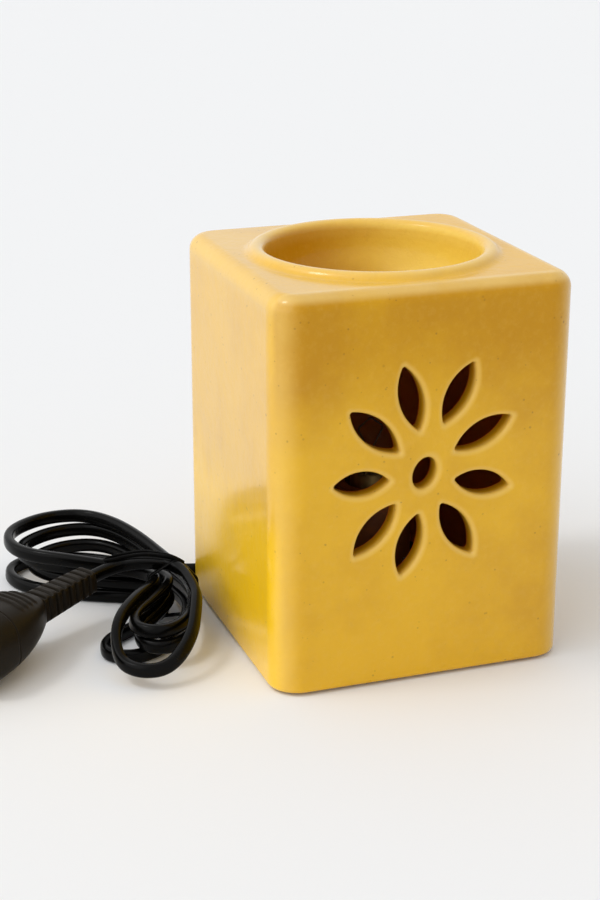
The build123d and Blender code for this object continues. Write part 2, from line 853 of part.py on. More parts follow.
start = hank_points[0]
start_run = start - hank_headings[0] * lead_last_run
lead_points = [
    (0, bush_end, bush_z),
    (0, half_body + 6.0, bush_z),
    (-10.5, half_body + 15.0, 5.4),
    (-25.0, half_body + 12.0, cord_floor),
    (-(half_body - 8.5), half_body + 2.4, cord_floor),
    (-(half_body + 7.5), half_body + 8.8, cord_floor),
    (start_run.X, start_run.Y, cord_floor),
    (start.X, start.Y, start.Z),
]
lead_radii = route_radii(lead_points)
print("lead radii", [round(r, 1) for r in lead_radii])

with BuildPart() as cord_lead:
    with BuildLine() as lead_line:
        FilletPolyline(*lead_points, radius=lead_radii)
    with BuildSketch(Plane(origin=lead_line.line @ 0, z_dir=lead_line.line % 0)):
        Circle(cord_radius)
    sweep()
cord_lead.part.label = "cord_lead"
export_step(cord_lead.part, "parts/cord_lead.step")
lead_length = sum(e.length for e in lead_line.edges())
print("lead length", round(lead_length, 1), "volume ratio", round(
    cord_lead.part.volume / (pi * cord_radius ** 2 * lead_length), 4))

end = hank_points[-1]
end_run = end + hank_headings[-1] * tail_first_run
relief_start = Vector(waist[0] - 39.3, waist[1] - 9.8, plug_height / 2 + 5.1)
plug_turn = radians(plug_heading)
plug_tip = radians(plug_drop)
plug_axis = Vector(cos(plug_tip) * cos(plug_turn), cos(plug_tip) * sin(plug_turn), -sin(plug_tip))
plug_plane = Plane(
    origin=relief_start,
    x_dir=(sin(plug_turn), -cos(plug_turn), 0),
    z_dir=(plug_axis.X, plug_axis.Y, plug_axis.Z),
)
relief_run = relief_start - plug_axis * tail_last_run
tail_points = [
    (end.X, end.Y, end.Z),
    (end_run.X, end_run.Y, end_run.Z),
    (waist[0] - 6.8, waist[1] - 10.5, 20.3),
    (waist[0] - 16.8, waist[1] - 4.0, 19.8),
    (relief_run.X, relief_run.Y, relief_run.Z),
    (relief_start.X, relief_start.Y, relief_start.Z),
]
tail_radii = route_radii(tail_points)
print("tail radii", [round(r, 1) for r in tail_radii])

with BuildPart() as cord_tail:
    with BuildLine() as tail_line:
        FilletPolyline(*tail_points, radius=tail_radii)
    with BuildSketch(Plane(origin=tail_line.line @ 0, z_dir=tail_line.line % 0)):
        Circle(cord_radius)
    sweep()
cord_tail.part.label = "cord_tail"
export_step(cord_tail.part, "parts/cord_tail.step")
tail_length = sum(e.length for e in tail_line.edges())
print("tail length", round(tail_length, 1), "volume ratio", round(
    cord_tail.part.volume / (pi * cord_radius ** 2 * tail_length), 4))
print("cord length", round(lead_length + travelled + tail_length, 1))

# Tie
tie_point, tie_run = spine(tie_at)
tie_plane = Plane(
    origin=(tie_point[0], tie_point[1], 0),
    x_dir=(tie_run[1], -tie_run[0], 0),
    z_dir=(-tie_run[0], -tie_run[1], 0),
)
with BuildPart() as cord_tie:
    with BuildSketch(tie_plane):
        with BuildLine():
            Polyline(*tie_strands, close=True)
            offset(amount=cord_radius + tie_slack + tie_thickness)
        make_face()
        with BuildLine():
            Polyline(*tie_strands, close=True)
            offset(amount=cord_radius + tie_slack)
        make_face(mode=Mode.SUBTRACT)
    extrude(amount=tie_width / 2, both=True)
cord_tie.part.label = "cord_tie"
export_step(cord_tie.part, "parts/cord_tie.step")

# Plug
with BuildPart() as plug_relief:
    with BuildSketch(plug_plane):
        RectangleRounded(*relief_start_size, relief_corner)
    with BuildSketch(plug_plane.offset(relief_length)):
        RectangleRounded(*relief_end_size, relief_corner)
    loft()
    for i in range(rib_count):
        share = (i + 0.5) / rib_count
        core_wide = relief_start_size[0] + share * (relief_end_size[0] - relief_start_size[0])
        core_high = relief_start_size[1] + share * (relief_end_size[1] - relief_start_size[1])
        with BuildSketch(plug_plane.offset(share * relief_length - rib_thickness / 2)):
            RectangleRounded(core_wide + 2 * rib_rise, core_high + 2 * rib_rise, relief_corner)
        extrude(amount=rib_thickness)
plug_relief.part.label = "plug_relief"
export_step(plug_relief.part, "parts/plug_relief.step")

with BuildPart() as plug_body:
    with BuildSketch(plug_plane.offset(relief_length)):
        RectangleRounded(*plug_neck_size, plug_neck_corner)
    with BuildSketch(plug_plane.offset(relief_length + plug_shoulder)):
        RectangleRounded(*plug_shoulder_size, plug_shoulder_corner)
    with BuildSketch(plug_plane.offset(relief_length + plug_length)):
        RectangleRounded(plug_width, plug_height, plug_corner)
    loft()
plug_body.part.label = "plug_body"
export_step(plug_body.part, "parts/plug_body.step")

with BuildPart() as plug_pins:
    with BuildSketch(plug_plane.offset(relief_length + plug_length)):
        with Locations((pin_spacing / 2, 0), (-pin_spacing / 2, 0)):
            Circle(pin_radius)
    extrude(amount=pin_length)
    tips = plug_pins.faces().filter_by(GeomType.PLANE)
    for tip in tips:
        if tip.normal_at().dot(plug_axis) > 0.9:
            fillet(tip.edges(), pin_tip_radius)
plug_pins.part.label = "plug_pins"
export_step(plug_pins.part, "parts/plug_pins.step")
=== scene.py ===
"""Looks of the wax melt warmer: glazed ceramic body, lamp base, lamp, tied cord and plug.

Metres, +Z up, origin at the middle of the underside, the flower faces -Y.
"""
import json
import math

import bpy
import numpy as np
from mathutils import Matrix, Vector


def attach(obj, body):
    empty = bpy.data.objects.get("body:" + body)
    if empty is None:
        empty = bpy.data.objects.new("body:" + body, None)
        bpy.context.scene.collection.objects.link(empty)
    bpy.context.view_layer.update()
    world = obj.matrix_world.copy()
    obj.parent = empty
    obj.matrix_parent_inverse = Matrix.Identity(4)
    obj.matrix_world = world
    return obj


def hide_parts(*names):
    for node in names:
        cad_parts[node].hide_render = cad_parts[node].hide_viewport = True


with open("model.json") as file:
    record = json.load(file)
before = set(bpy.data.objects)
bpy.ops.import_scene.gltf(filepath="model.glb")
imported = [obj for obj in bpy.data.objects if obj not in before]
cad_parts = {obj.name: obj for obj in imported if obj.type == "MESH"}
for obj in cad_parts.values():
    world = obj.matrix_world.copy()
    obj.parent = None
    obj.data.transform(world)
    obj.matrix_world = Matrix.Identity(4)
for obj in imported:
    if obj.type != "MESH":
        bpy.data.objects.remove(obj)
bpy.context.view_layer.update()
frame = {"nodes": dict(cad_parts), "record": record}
nodes = frame["nodes"]
MM = 0.001
TO_MM = 1000.0
UPWARDS = np.array([0.0, 0.0, 1.0])

# Camera, as solved from the photograph
CAMERA_AT = np.array([-219.39, -553.38, 270.64]) * MM
CAMERA_AZIMUTH = math.radians(-19.354)
CAMERA_ELEVATION = math.radians(19.376)
CAMERA_ROLL = math.radians(0.10)
LENS_MM = 75.04
FRAME_HEIGHT_MM = 36.0
CLIP_NEAR = 0.01
CLIP_FAR = 50.0

# Floor and world
FLOOR_HALF = 6.0
FLOOR_COLOUR = (0.874, 0.883, 0.893)
WORLD_LIGHT = 0.67
WORLD_SEEN = 0.93
SEEN_RAYS = ("Is Camera Ray", "Is Glossy Ray", "Is Transmission Ray")

# Lamps, each with its strength, spread and direction: a broad one low on the left, two higher up
LAMPS = {
    "broad_lamp": (1.15, math.radians(85), (-0.88, -0.13, 0.45)),
    "softbox": (0.2, math.radians(55), (-0.5, 0.02, 0.86)),
    "spot": (0.48, math.radians(13), (-0.55, 0.06, 0.83)),
}

# Flower cut-out, in millimetres on the front face: outer tip, inner tip and width of each petal
PETALS = [
    ((-8.9, 105.8), (-3.1, 84.3), 8.2),
    ((14.7, 105.1), (4.9, 85.7), 8.4),
    ((28.0, 86.2), (8.7, 76.8), 8.2),
    ((28.0, 62.8), (9.0, 67.1), 8.0),
    ((15.9, 41.2), (4.6, 59.6), 8.4),
    ((-8.8, 36.8), (-2.9, 57.1), 8.2),
    ((-24.5, 45.3), (-10.6, 61.2), 8.2),
    ((-31.5, 69.1), (-12.8, 69.1), 8.0),
    ((-26.2, 92.7), (-9.6, 77.9), 8.4),
]
OVAL_CENTRE = (-1.1, 70.3)
OVAL_WIDTH = 7.6
OVAL_HEIGHT = 10.5
OVAL_LEAN = math.radians(20.0)

# Glaze colours: the common ones, thick to thin, also used for painted shade and highlight, and then those
# of single places, some of them painted light and shade
OCHRE = (0.57, 0.27, 0.004)
HONEY = (0.80, 0.445, 0.008)
CREAM = (0.86, 0.57, 0.13)
CREST = (0.90, 0.65, 0.23)
# Painted light on the lower left wall
LIT_LOW_LEFT_WALL = (0.97, 0.58, 0.011)
SHADED_DISH = (0.58, 0.265, 0.002)
LIT_DISH = (0.86, 0.60, 0.085)
# Painted shade at the dish's bottom
SHADED_DISH_BOTTOM = (0.42, 0.172, 0.001)
# Painted shade on the walls of the petals' holes
SHADED_PETAL_WALL = (0.40, 0.165, 0.003)
INSIDE = (0.70, 0.17, 0.012)
SMUDGE = (0.36, 0.17, 0.006)
IRON_SPECK = (0.17, 0.07, 0.01)
# Middle of the dish's bead, and the height that parts the dish from the body's inside, in millimetres
BEAD_RADIUS = 38.0
DISH_PARTING = 106.5

# Other colours
DEEP_BLACK = (0.0016, 0.0015, 0.0013)
PLUG_BLACK = (0.0135, 0.0102, 0.0062)
CLEAR_GLASS = (0.12, 0.10, 0.07)
CAP_CEMENT = (0.40, 0.26, 0.09)
# Top of the lamp's cap, in millimetres
CAP_RIM = 54.6

# Cord: a flat twin section that leans to and fro as it runs
CORD_WIDE = 4.7 * MM
CORD_THIN = 3.5 * MM
CORD_SQUARENESS = 3.0
CORD_AROUND = 28
CORD_FINENESS = 8
LEAN = 0.35
LEAN_WAVE = 0.041
LEAN_DRIFT = 0.113

# Cord route in millimetres, near that of the solids, moved to follow the photograph
CORD_FLOOR = 2.42
CORD_LAYER = 4.9
WAIST = np.array([-54.0, 29.5])
WAIST_HALF = 2.6
WAIST_BEND = 21.0
LEFT_HEADING = math.radians(138.0)
FRONT_HEADING = math.radians(242.5)
HANK_START = 40.0
HANK_END = -1318.0
HANK_STEPS = 68
HANK_NEARBY = 0.05
# Reach, near spread and far spread of each loop on the left; reach, spread and swing of each in front
LEFT_LOOPS = np.array([(74, 27, 31), (65, 22, 40), (69, 26, 45), (73, 34, 45)])
FRONT_LOOPS = np.array([(50, 21, 14), (51, 19, 2), (50, 19, 4), (67, 27, 3)])
LEFT_FANNING = 2.0
FRONT_FANNING = 1.4
LAST_TURN = len(LEFT_LOOPS) - 1
CLIMB_START = 4.0
CLIMB_RUN = 24.0
LAST_DIP = 11.0
DIP_FROM = 0.62
ROLLED_HALF = 6.8
ROLLED_DROP = 5.0
ROLLED_RUN = 38.0
TIE_AT = -10.0
TIE_LIFT = 1.6
TIE_LIFT_RUN = 16.0
LEAD_POINTS = [
    (0.0, 42.5, 8.75),
    (0.0, 56.0, 8.75),
    (-10.5, 65.0, 5.4),
    (-25.0, 62.0, CORD_FLOOR),
    (-41.5, 52.4, CORD_FLOOR),
    (-57.5, 58.8, CORD_FLOOR),
]
LEAD_RUN = 15.0
TAIL_RUN = 9.0
TAIL_RISE = 1.1
TAIL_POINTS = [(-61.5, 21.5, 19.8), (-72.0, 28.0, 19.7)]
RELIEF_RUN = 12.0

# Tie: the outermost strands at the waist, across and up, and the tie's ends lying along the tail
TIE_STRANDS = np.array([(-7.0, 3.9), (1.0, 4.1), (2.6, 8.9), (2.3, 13.7), (-2.3, 19.4), (-9.4, 14.9)])
TIE_OFF = 2.5
TIE_LOOP = [
    (-60.4, 20.9, 20.8),
    (-63.0, 22.0, 22.6),
    (-67.0, 25.4, 23.1),
    (-72.0, 29.9, 22.9),
    (-78.0, 33.2, 21.2),
    (-83.0, 34.0, 20.2),
    (-85.4, 33.2, 19.8),
    (-84.0, 31.5, 20.1),
    (-78.0, 30.0, 21.6),
    (-72.0, 26.6, 23.1),
    (-67.0, 22.6, 23.3),
    (-63.5, 20.6, 22.8),
    (-60.2, 20.0, 20.8),
]
# Width, thickness and squareness of the tie's ring and of its loose ends
TIE_BAND = (2.2 * MM, 0.9 * MM, 2.4)
TIE_WIRE = (1.5 * MM, 0.9 * MM, 2.2)
TIE_AROUND = 12
TIE_RING_STEPS = 97
TIE_FINENESS = 10

# Plug's direction
PLUG_HEADING = math.radians(213.0)
PLUG_DROP = math.radians(4.0)
PLUG_AXIS = np.array([
    math.cos(PLUG_DROP) * math.cos(PLUG_HEADING),
    math.cos(PLUG_DROP) * math.sin(PLUG_HEADING),
    -math.sin(PLUG_DROP),
])
PLUG_ACROSS = np.array([math.sin(PLUG_HEADING), -math.cos(PLUG_HEADING), 0.0])

# Bend relief, in millimetres
RELIEF_START = np.array([-92.5, 26.2, 16.6])
RELIEF_LENGTH = 26.0
RELIEF_START_SIZE = np.array([8.6, 8.0])
RELIEF_END_SIZE = np.array([10.8, 9.8])
RELIEF_SQUARENESS = 5.0
RELIEF_STEPS = 157
RELIEF_AROUND = 72
RELIEF_COLLAR = 1.5
RELIEF_ROOT = 1.2
RIB_COUNT = 8
RIB_DEPTH = 1.15
# Where a slot starts and becomes full, on a wave from -1 to 1
SLOT_FROM = 0.05
SLOT_FADE = 0.35
# A slot's reach across a face and how near to the surface it starts, as shares of the half size
SLOT_REACH = 0.9
SLOT_REACH_FADE = 0.12
SLOT_SURFACE = 0.86
SLOT_SURFACE_FADE = 0.1

# Plug moulding, in millimetres
PLUG_LENGTH = 38.0
PLUG_NECK_SIZE = np.array([12.4, 11.0])
PLUG_END_SIZE = np.array([33.0, 23.0])
PLUG_GROWTH = 2.6
PLUG_EDGE = 2.5
PLUG_SQUARENESS = 3.0
PLUG_STEPS = 180
PLUG_EDGE_ANGLES = np.linspace(0.1, np.pi / 2, 10)
PLUG_AROUND = 96
SEAM_AT = 21.0
SEAM_DEPTH = 0.3
SEAM_WIDTH = 0.22
GRIP_FROM = 4.0
GRIP_TO = 15.5
GRIP_STEP = 3.0
GRIP_RISE = 0.55
GRIP_LEAD = 1.2
GRIP_FADE = 0.8
# Where a ridge starts and becomes full, on a wave from -1 to 1, and its reach across the face
RIDGE_FROM = -0.1
RIDGE_FADE = 0.6
RIDGE_REACH = 0.78
RIDGE_REACH_FADE = 0.12


class Value:
    """A shader socket that Python arithmetic acts on: each operation adds a Math node."""

    def __init__(self, finish, socket):
        self.finish = finish
        self.socket = socket

    def maths(self, operation, first, second=0.0):
        """One Math node on two values."""
        return self.finish.add("ShaderNodeMath", {"operation": operation}, {0: first, 1: second})

    def __add__(self, other):
        return self.maths("ADD", self, other)

    __radd__ = __add__

    def __sub__(self, other):
        return self.maths("SUBTRACT", self, other)

    def __rsub__(self, other):
        return self.maths("SUBTRACT", other, self)

    def __mul__(self, other):
        return self.maths("MULTIPLY", self, other)

    __rmul__ = __mul__

    def __abs__(self):
        return self.maths("ABSOLUTE", self)

    def __or__(self, other):
        """The larger of two values."""
        return self.maths("MAXIMUM", self, other)

    __ror__ = __or__

    def __and__(self, other):
        """The smaller of two values."""
        return self.maths("MINIMUM", self, other)

    __rand__ = __and__

    def ramp(self, low, high, to_low=0.0, to_high=1.0):
        """Smooth step: to_low where the value is low, to_high where it is high."""
        settings = {"interpolation_type": "SMOOTHSTEP"}
        links = {"From Min": low, "From Max": high, "To Min": to_low, "To Max": to_high, "Value": self}
        return self.finish.add("ShaderNodeMapRange", settings, links)


class NodeTree:
    """A node tree with one way to add a node, and short ways to the nodes that the finishes share."""

    def __init__(self, tree):
        self.tree = tree

    def plug(self, socket, value):
        """Links a value's socket, or sets a plain number, vector or colour."""
        if isinstance(value, Value):
            self.tree.links.new(value.socket, socket)
        elif socket.type == "RGBA" and len(value) == 3:
            socket.default_value = (*value, 1.0)
        else:
            socket.default_value = value

    def add(self, kind, settings=None, links=None, out=0):
        """A node of a kind: its settings first, then its sockets; gives back one output."""
        node = self.tree.nodes.new(kind)
        for name, value in (settings or {}).items():
            setattr(node, name, value)
        for name, value in (links or {}).items():
            self.plug(node.inputs[name], value)
        return Value(self, node.outputs[out])

    def place(self, scale=(1.0, 1.0, 1.0)):
        """Object coordinates, stretched."""
        at = self.add("ShaderNodeTexCoord", out="Object")
        return self.add("ShaderNodeMapping", {}, {"Vector": at, "Scale": scale})

    def noise(self, at, scale, detail, roughness):
        """Cloudy noise around one half."""
        links = {"Vector": at, "Scale": scale, "Detail": detail, "Roughness": roughness}
        return self.add("ShaderNodeTexNoise", {}, links, "Fac")

    def cells(self, at, scale):
        """Distance to the nearest of the points that are strewn one to a cell."""
        return self.add("ShaderNodeTexVoronoi", {}, {"Vector": at, "Scale": scale}, "Distance")

    def mix(self, factor, first, second):
        """The first colour where the factor is 0, the second where it is 1."""
        links = {"Factor": factor, 6: first, 7: second}
        return self.add("ShaderNodeMix", {"data_type": "RGBA"}, links, 2)

    def distance(self, at, centre):
        """Distance from a point."""
        links = {0: at, 1: centre}
        return self.add("ShaderNodeVectorMath", {"operation": "DISTANCE"}, links, "Value")


class Finish(NodeTree):
    """One material with a Principled shader."""

    def __init__(self, name, **sockets):
        self.material = bpy.data.materials.new(name)
        self.material.use_nodes = True
        super().__init__(self.material.node_tree)
        self.shader = self.tree.nodes["Principled BSDF"]
        self.give(**sockets)

    def give(self, **sockets):
        """Sets or links the shader's own sockets: base_color is its Base Color."""
        for name, value in sockets.items():
            self.plug(self.shader.inputs[name.replace("_", " ").title().replace("Ior", "IOR")], value)

    def bump(self, height, distance, strength):
        """Fine relief in the shading: a height times a distance."""
        links = {"Height": height, "Distance": distance, "Strength": strength}
        self.give(normal=self.add("ShaderNodeBump", {}, links, "Normal"))


# Meshes
def mesh_piece(name, points, faces, finish, body):
    """A smooth mesh from points and faces, riding on a body."""
    mesh = bpy.data.meshes.new(name)
    mesh.from_pydata(points.tolist(), [], faces)
    mesh.polygons.foreach_set("use_smooth", np.ones(len(mesh.polygons), bool))
    mesh.materials.append(finish.material)
    mesh.update()
    piece = bpy.data.objects.new(name, mesh)
    bpy.context.scene.collection.objects.link(piece)
    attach(piece, body)
    return piece


def grid_faces(rows, columns, start):
    """Quads of a grid whose columns close into a ring."""
    first = start + np.arange(rows - 1)[:, None] * columns
    low = first + np.arange(columns)
    right = first + (np.arange(columns) + 1) % columns
    return np.stack([low, right, right + columns, low + columns], axis=-1).reshape(-1, 4)


def tube_mesh(rings, start=0):
    """Points and faces of a tube from rings, shape (rings, around, 3), closed by a fan on each end."""
    rows, around = rings.shape[:2]
    points = np.vstack([rings.reshape(-1, 3), rings[0].mean(0), rings[-1].mean(0)])
    sides = grid_faces(rows, around, start)
    ring = start + np.arange(around)
    ahead = start + (np.arange(around) + 1) % around
    last = (rows - 1) * around
    middle = start + rows * around
    first_cap = np.stack([ahead, ring, np.full(around, middle)], axis=-1)
    end_cap = np.stack([ring + last, ahead + last, np.full(around, middle + 1)], axis=-1)
    return points, sides.tolist() + first_cap.tolist() + end_cap.tolist()


def joined(tubes):
    """Several capped tubes as one set of points and faces."""
    points = []
    faces = []
    count = 0
    for rings in tubes:
        tube_points, tube_faces = tube_mesh(rings, count)
        points.append(tube_points)
        faces.extend(tube_faces)
        count += len(tube_points)
    return np.vstack(points), faces


def rounded_section(width, height, squareness, around):
    """Superellipse: |2x/width|^squareness + |2y/height|^squareness = 1, as points round it."""
    angle = np.linspace(0, 2 * np.pi, around, endpoint=False)
    c, s = np.cos(angle), np.sin(angle)
    x = width / 2 * np.sign(c) * np.abs(c) ** (2 / squareness)
    y = height / 2 * np.sign(s) * np.abs(s) ** (2 / squareness)
    return np.stack([x, y], axis=-1)


def length_one(vectors):
    """Each vector divided by its length."""
    return vectors / np.linalg.norm(vectors, axis=-1, keepdims=True)


def carry(section, path, wide):
    """A section, or one for each path point, carried along a path: x along wide, y square to both."""
    run = length_one(np.gradient(path, axis=0))
    across = length_one(wide - (wide * run).sum(1, keepdims=True) * run)
    other = np.cross(run, across)
    return path[:, None] + section[..., :1] * across[:, None] + section[..., 1:] * other[:, None]


def smooth(t):
    """Smooth step: 3t^2 - 2t^3, with t held between 0 and 1."""
    t = np.clip(t, 0.0, 1.0)
    return t * t * (3 - 2 * t)


def nurbs_line(name, points, fineness):
    """Points read from the NURBS spline that has the route's points as its control points."""
    curve = bpy.data.curves.new(name, "CURVE")
    curve.dimensions = "3D"
    curve.resolution_u = fineness
    spline = curve.splines.new("NURBS")
    spline.points.add(len(points) - 1)
    spline.points.foreach_set("co", np.c_[points, np.ones(len(points))].ravel())
    spline.order_u = 3
    spline.use_endpoint_u = True
    holder = bpy.data.objects.new(name, curve)
    mesh = bpy.data.meshes.new_from_object(holder)
    line = np.empty(len(mesh.vertices) * 3)
    mesh.vertices.foreach_get("co", line)
    bpy.data.objects.remove(holder)
    bpy.data.curves.remove(curve)
    bpy.data.meshes.remove(mesh)
    return line.reshape(-1, 3)


# Camera and stage
def make_camera():
    """The photograph's camera: azimuth and elevation give its back, and the roll turns it about that."""
    back = np.array([
        math.sin(CAMERA_AZIMUTH) * math.cos(CAMERA_ELEVATION),
        -math.cos(CAMERA_AZIMUTH) * math.cos(CAMERA_ELEVATION),
        math.sin(CAMERA_ELEVATION),
    ])
    level = np.array([math.cos(CAMERA_AZIMUTH), math.sin(CAMERA_AZIMUTH), 0.0])
    upright = np.cross(back, level)
    right = level * math.cos(CAMERA_ROLL) + upright * math.sin(CAMERA_ROLL)
    up = upright * math.cos(CAMERA_ROLL) - level * math.sin(CAMERA_ROLL)
    turn = Matrix(np.stack([right, up, back], axis=1).tolist()).to_4x4()
    data = bpy.data.cameras.new("camera")
    data.sensor_fit = "VERTICAL"
    data.sensor_height = FRAME_HEIGHT_MM
    data.lens = LENS_MM
    data.clip_start = CLIP_NEAR
    data.clip_end = CLIP_FAR
    camera = bpy.data.objects.new("camera", data)
    camera.matrix_world = Matrix.Translation(Vector(CAMERA_AT)) @ turn
    bpy.context.scene.collection.objects.link(camera)
    bpy.context.scene.camera = camera


def make_stage():
    """A flat pale floor, a white world that is brighter where it is seen, and three lamps."""
    paper = Finish("floor_paper", base_color=FLOOR_COLOUR, roughness=0.9, specular_ior_level=0.1)
    corners = np.array([(-1, -1, 0), (1, -1, 0), (1, 1, 0), (-1, 1, 0)]) * FLOOR_HALF
    mesh = bpy.data.meshes.new("floor")
    mesh.from_pydata(corners.tolist(), [], [(0, 1, 2, 3)])
    mesh.materials.append(paper.material)
    floor = bpy.data.objects.new("floor", mesh)
    bpy.context.scene.collection.objects.link(floor)

    world = bpy.data.worlds.new("studio")
    world.use_nodes = True
    bpy.context.scene.world = world
    sky = NodeTree(world.node_tree)
    by_camera, by_gloss, by_glass = (sky.add("ShaderNodeLightPath", out=ray) for ray in SEEN_RAYS)
    strength = (by_camera | by_gloss | by_glass).ramp(0.0, 1.0, WORLD_LIGHT, WORLD_SEEN)
    background = world.node_tree.nodes["Background"]
    sky.plug(background.inputs["Color"], (1.0, 1.0, 1.0))
    sky.plug(background.inputs["Strength"], strength)

    for name, (energy, spread, direction) in LAMPS.items():
        light = bpy.data.lights.new(name, "SUN")
        light.energy = energy
        light.angle = spread
        lamp = bpy.data.objects.new(name, light)
        lamp.rotation_euler = Vector(direction).to_track_quat("Z", "Y").to_euler()
        bpy.context.scene.collection.objects.link(lamp)


# Finishes
def petal_edge(glaze):
    """Distance outside the flower's holes: a petal is where two discs overlap, and the middle an oval."""
    flat = glaze.place((TO_MM, 0.0, TO_MM))
    nearest = None
    for outer, inner, width in PETALS:
        middle = (np.array(outer) + inner) / 2
        run = np.subtract(inner, outer)
        length = np.linalg.norm(run)
        radius = (length ** 2 / 4 + width ** 2 / 4) / width
        side = np.array([-run[1], run[0]]) / length * (radius - width / 2)
        off = [glaze.distance(flat, (c[0], 0.0, c[1])) for c in (middle + side, middle - side)]
        beyond_tips = glaze.distance(flat, (middle[0], 0.0, middle[1])) - length / 2
        petal = ((off[0] | off[1]) - radius) | beyond_tips
        nearest = petal if nearest is None else nearest & petal
    links = {
        "Vector": flat,
        "Location": (OVAL_CENTRE[0], 0.0, OVAL_CENTRE[1]),
        "Rotation": (0.0, OVAL_LEAN, 0.0),
        "Scale": (OVAL_WIDTH / 2, 1.0, OVAL_HEIGHT / 2),
    }
    in_oval = glaze.add("ShaderNodeMapping", {"vector_type": "TEXTURE"}, links)
    oval = glaze.distance(in_oval, (0.0, 0.0, 0.0))
    return nearest & (oval - 1.0) * (OVAL_WIDTH / 2)


def amber_glaze():
    """Glossy amber glaze: pale on edges, bead and petal rims from thin glaze and painted highlight,
    deeper in between, with iron specks, and painted light and shade on the walls, dish and holes.

    A mask is a smooth step on a place in millimetres or on a noise, and mixes one colour in.
    """
    glaze = Finish("amber_glaze", roughness=0.4, specular_ior_level=0.1)
    glaze.give(coat_roughness=0.16, coat_ior=1.4)
    at = glaze.place((TO_MM, TO_MM, TO_MM))
    x, y, z = (glaze.add("ShaderNodeSeparateXYZ", {}, {"Vector": at}, axis) for axis in "XYZ")
    cloud = glaze.noise(at, 0.028, 3.0, 0.5)
    drift = glaze.noise(at, 0.09, 4.0, 0.6)
    fine = glaze.noise(at, 0.55, 3.0, 0.6)
    uneven = drift.ramp(0.2, 0.8, 0.7, 1.0)

    # Front wall: painted shade that darkens it towards its top, and darker towards its sides
    front = y.ramp(-43.0, -46.5)
    top_shade = z.ramp(70.0, 122.0, 0.0, 0.8) * front
    aside = x.ramp(4.0, 46.0, 0.0, 0.3) + x.ramp(-12.0, -44.0, 0.0, 0.45) * z.ramp(84.0, 112.0)
    clouded = cloud.ramp(0.34, 0.66, -0.12, 0.16) + drift.ramp(0.3, 0.7, -0.08, 0.12)
    colour = glaze.mix(top_shade + aside * front + clouded, HONEY, OCHRE)

    # Left wall: painted reflection paling its upper part, and painted light brightening its lower part,
    # with streaks between
    streaks = glaze.noise(glaze.place((TO_MM, TO_MM, 420.0)), 0.05, 3.0, 0.55)
    left_wall = x.ramp(-46.0, -49.0)
    low = (z + streaks * 34.0).ramp(84.0, 62.0)
    colour = glaze.mix(left_wall * (1 - low) * 0.16, colour, CREST)
    colour = glaze.mix(left_wall * low * 0.95, colour, LIT_LOW_LEFT_WALL)

    # Dish, lighter on the side that the lamps reach
    radius = glaze.distance(glaze.place((TO_MM, TO_MM, 0.0)), (0.0, 0.0, 0.0))
    dish = radius.ramp(36.5, 35.0) * z.ramp(DISH_PARTING, DISH_PARTING + 1.0)
    dish_wall = glaze.mix(x.ramp(-18.0, 30.0), SHADED_DISH, LIT_DISH)
    colour = glaze.mix(dish * 0.9, colour, dish_wall)
    # Painted shade: the dish's bottom darker, most towards the left
    dish_floor_shade = dish * z.ramp(120.0, 111.0) * x.ramp(27.0, 0.0)
    colour = glaze.mix(dish_floor_shade * 0.95, colour, SHADED_DISH_BOTTOM)

    # Upright edges and petal rims, paler where the glaze is thin and with painted highlight
    corner = abs(x).ramp(41.0, 48.0) * abs(y).ramp(41.0, 48.0)
    off_petals = petal_edge(glaze)
    rim = off_petals.ramp(2.2, 0.2) * y.ramp(-46.5, -48.5)
    colour = glaze.mix((corner * 0.5 | rim * 0.75) * uneven, colour, CREAM)

    # Top edges and bead, paler where the glaze is thinnest and with painted highlight; the deck paler
    # towards the left with painted light
    brow = (abs(x).ramp(42.0, 49.0) | y.ramp(42.0, 49.0)) * z.ramp(121.0, 128.0)
    front_brow = y.ramp(-41.5, -44.0) * z.ramp(126.8, 129.2)
    bead = abs(radius - BEAD_RADIUS).ramp(4.5, 0.5) * z.ramp(125.0, 130.0)
    deck = z.ramp(128.6, 129.8)
    edges = brow * (1 - front) * 0.42 | front_brow * 0.6
    top = bead * 0.62 | deck * x.ramp(4.0, -40.0) * 0.25
    colour = glaze.mix((edges | top) * uneven, colour, CREST)
    colour = glaze.mix(fine.ramp(0.45, 0.75) * 0.08, colour, CREAM)

    # Painted shade darkening the walls of the petals' holes, and the bare inside of the body
    cut = off_petals.ramp(0.4, 0.1) * y.ramp(-48.6, -45.0) * y.ramp(-30.0, -40.0)
    colour = glaze.mix(cut * 0.75, colour, SHADED_PETAL_WALL)
    within = abs(x).ramp(44.6, 44.1) * abs(y).ramp(44.6, 44.1)
    colour = glaze.mix(within * z.ramp(DISH_PARTING, DISH_PARTING - 1.0), colour, INSIDE)

    # Smudges and specks
    smudge = glaze.noise(at, 0.2, 4.0, 0.7).ramp(0.58, 0.78) * fine.ramp(0.4, 0.7)
    colour = glaze.mix(smudge * 0.22, colour, SMUDGE)
    size = glaze.noise(at, 0.16, 3.0, 0.6).ramp(0.40, 0.70, 0.0, 0.24)
    speck = (size - glaze.cells(at, 0.4)).ramp(0.0, 0.09)
    colour = glaze.mix(speck * (1 - dish) * fine.ramp(0.3, 0.7, 0.16, 0.42), colour, IRON_SPECK)

    # Gloss, duller on the upper front, in the dish and on the deck
    dull_front = z.ramp(76.0, 118.0, 0.0, 0.6) * front * (1 - corner)
    dull = dull_front + dish * 0.6 + deck * x.ramp(-20.0, 40.0) * 0.3
    glaze.give(base_color=colour, coat_weight=1.0 - dull)
    glaze.bump(cloud * 0.7 + drift * 0.3, 0.35, 0.05)
    return glaze


